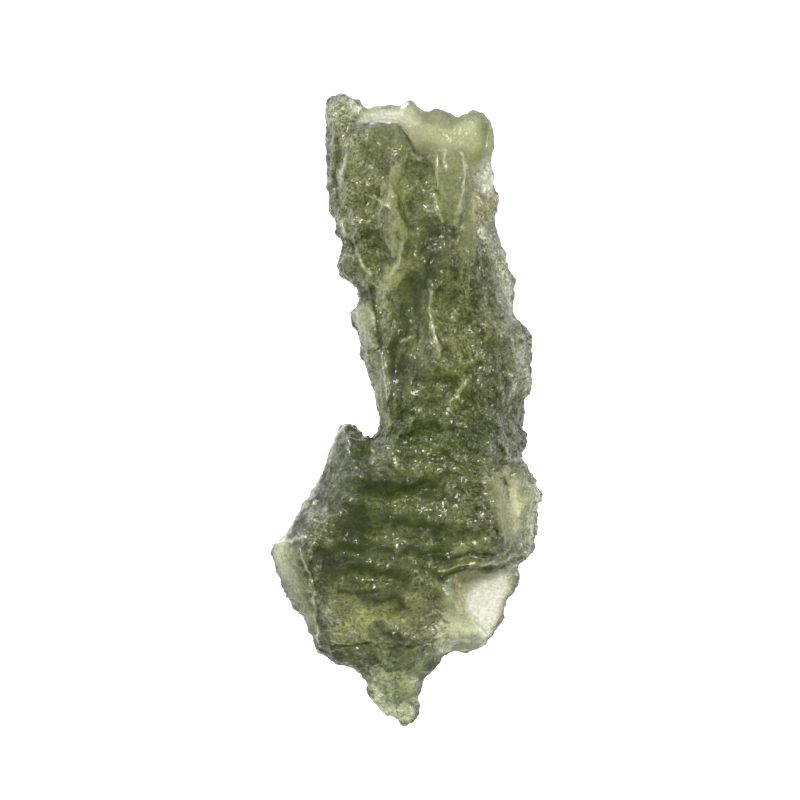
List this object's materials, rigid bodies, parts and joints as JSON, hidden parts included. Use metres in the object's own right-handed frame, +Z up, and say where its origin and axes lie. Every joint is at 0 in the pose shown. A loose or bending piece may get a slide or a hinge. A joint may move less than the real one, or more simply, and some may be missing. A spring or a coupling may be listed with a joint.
{
  "type": "moldavite tektite",
  "caption": "Rough piece of green natural glass lying on its back: an elongated etched arm that widens into a pitted body with a short pointed spur.",
  "frame": {"origin": "under the middle of the stone's bounding box, in the plane that its back rests on", "axes": "+Z up from the resting plane, +Y along the stone from its spur to its crown, +X to the right of someone who looks down on its front with the crown away from them"},
  "size_m": [0.0162, 0.038, 0.0087],
  "materials": {
    "moldavite_glass": "etched satin, glossy on fresh breaks"
  },
  "bodies": {
    "root": {"moldavite": "moldavite_glass"}
  },
  "joints": []
}
